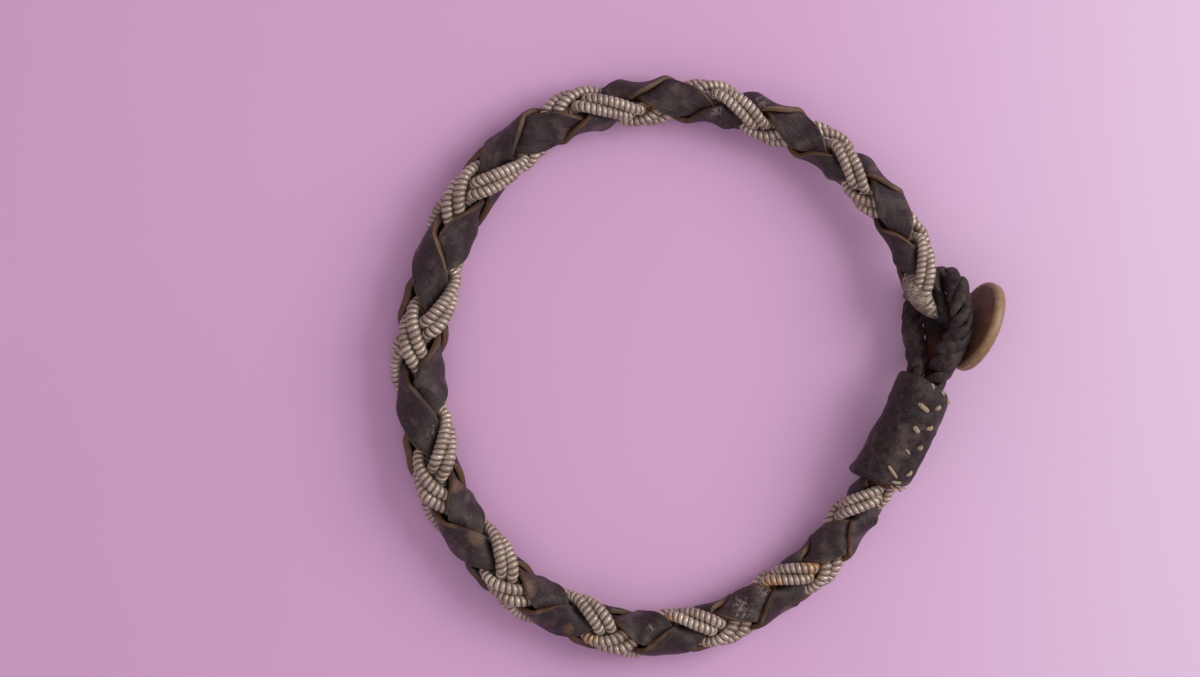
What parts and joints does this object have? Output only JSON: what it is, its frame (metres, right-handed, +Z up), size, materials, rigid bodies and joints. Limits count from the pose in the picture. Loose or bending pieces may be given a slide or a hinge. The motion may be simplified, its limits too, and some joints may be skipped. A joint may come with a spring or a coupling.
{
  "type": "braided leather bracelet",
  "caption": "Round braided bracelet of leather strips and wire-wound cords, closed by a plaited loop over a standing antler disc button.",
  "frame": {"origin": "centre of the bracelet's plan box, on the plane that the bracelet lies on", "axes": "+Z up from the surface, +X from the ring's middle towards the button, +Y along the surface from the sleeve towards the button's far side"},
  "size_m": [0.0762, 0.0725, 0.0113],
  "materials": {
    "strip_leather": "black-brown lace, worn, with raw brown edges",
    "clasp_leather": "soft black-brown leather",
    "wound_wire": "warm grey pewter wire, wound closely, a little worn",
    "antler": "polished antler, pale rim and brown middle"
  },
  "bodies": {
    "root": {"leather_strip_a": "strip_leather", "leather_strip_b": "strip_leather", "wound_cords_a": "wound_wire", "wound_cords_b": "wound_wire", "end_sleeve": "clasp_leather", "clasp_loop": "clasp_leather", "button_neck": "clasp_leather", "antler_button": "antler"}
  },
  "joints": []
}
